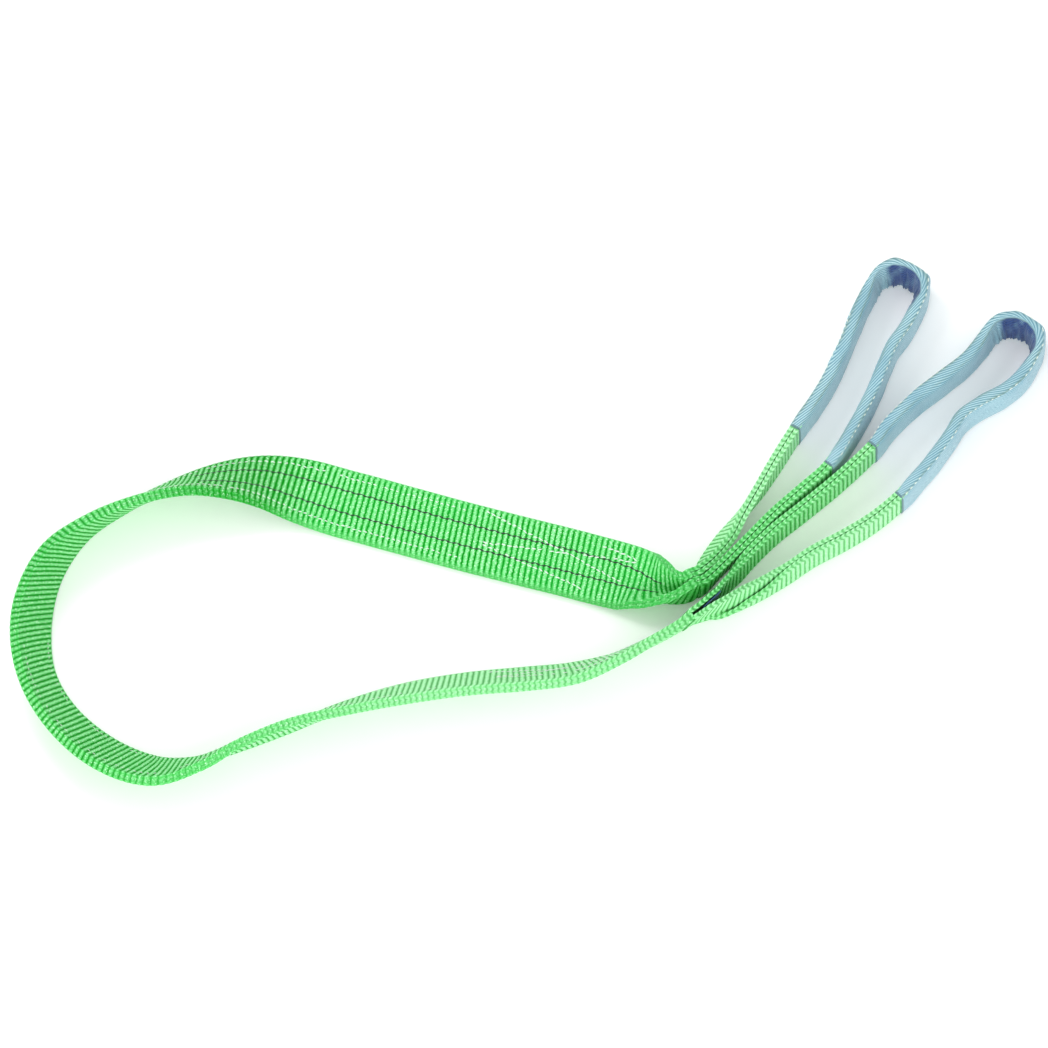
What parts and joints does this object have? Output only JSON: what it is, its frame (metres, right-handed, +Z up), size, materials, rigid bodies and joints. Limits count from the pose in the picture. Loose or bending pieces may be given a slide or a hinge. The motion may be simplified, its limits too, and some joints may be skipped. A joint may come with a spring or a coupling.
{
  "type": "flat web sling",
  "caption": "Flat woven lifting sling with a doubled body and a folded, sleeved soft eye at each end, laid out in an open loop on a flat surface.",
  "frame": {"origin": "middle of the bounding box, on the surface that the sling lies on", "axes": "+X along the layout from the loop to the eyes, +Y towards the eyes' side, +Z up"},
  "size_m": [0.8707, 0.496, 0.0607],
  "materials": {
    "web": "ribbed woven polyester web, satin",
    "sleeve_cloth": "twill-woven sleeve cloth, soft sheen",
    "sleeve_hem": "turned and sewn hem, matte",
    "thread": "twisted polyester thread, satin",
    "tracer_yarn": "woven-in yarn, matte",
    "label_cloth": "woven label tape, satin"
  },
  "bodies": {
    "far_run": {"far_run_upper_ply": "web", "far_run_lower_ply": "web", "far_run_tracer_yarns": "tracer_yarn", "far_run_edge_seams": "thread", "throat_a_stitching": "thread"},
    "loop": {"loop_outer_ply": "web", "loop_inner_ply": "web", "loop_edge_seams": "thread"},
    "near_run": {"near_run_outer_ply": "web", "near_run_inner_ply": "web", "near_run_edge_seams": "thread", "throat_b_stitching": "thread"},
    "eye_a": {"eye_a_left_leg": "web", "eye_a_right_leg": "web", "eye_a_crown_web": "web", "eye_a_sleeve_left": "sleeve_cloth", "eye_a_sleeve_right": "sleeve_cloth", "eye_a_sleeve_bearing": "sleeve_cloth", "eye_a_sleeve_seam": "thread", "eye_a_sleeve_hems": "sleeve_hem"},
    "eye_b": {"eye_b_left_leg": "web", "eye_b_right_leg": "web", "eye_b_crown_web": "web", "eye_b_sleeve_left": "sleeve_cloth", "eye_b_sleeve_right": "sleeve_cloth", "eye_b_sleeve_bearing": "sleeve_cloth", "eye_b_sleeve_seam": "thread", "eye_b_sleeve_hems": "sleeve_hem"},
    "label": {"label": "label_cloth", "label_stitching": "thread"}
  },
  "joints": [
    {"name": "loop_spread", "type": "hinge", "parent": "far_run", "child": "loop", "pos_m": [-0.4329, -0.0812, 0], "axis": [0, 0, -1], "range_deg": [0, 25]},
    {"name": "near_run_swing", "type": "hinge", "parent": "loop", "child": "near_run", "pos_m": [-0.049, -0.167, 0], "axis": [0, 0, -1], "range_deg": [0, 20]},
    {"name": "eye_a_swing", "type": "hinge", "parent": "far_run", "child": "eye_a", "pos_m": [0.1349, -0.0397, 0], "axis": [0, 0, 1], "range_deg": [0, 30]},
    {"name": "eye_b_swing", "type": "hinge", "parent": "near_run", "child": "eye_b", "pos_m": [0.1439, -0.0998, 0], "axis": [0, 0, -1], "range_deg": [0, 30]},
    {"name": "label_swing", "type": "hinge", "parent": "eye_b", "child": "label", "pos_m": [0.1409, -0.0791, 0], "axis": [0, 0, -1], "range_deg": [0, 5]}
  ]
}
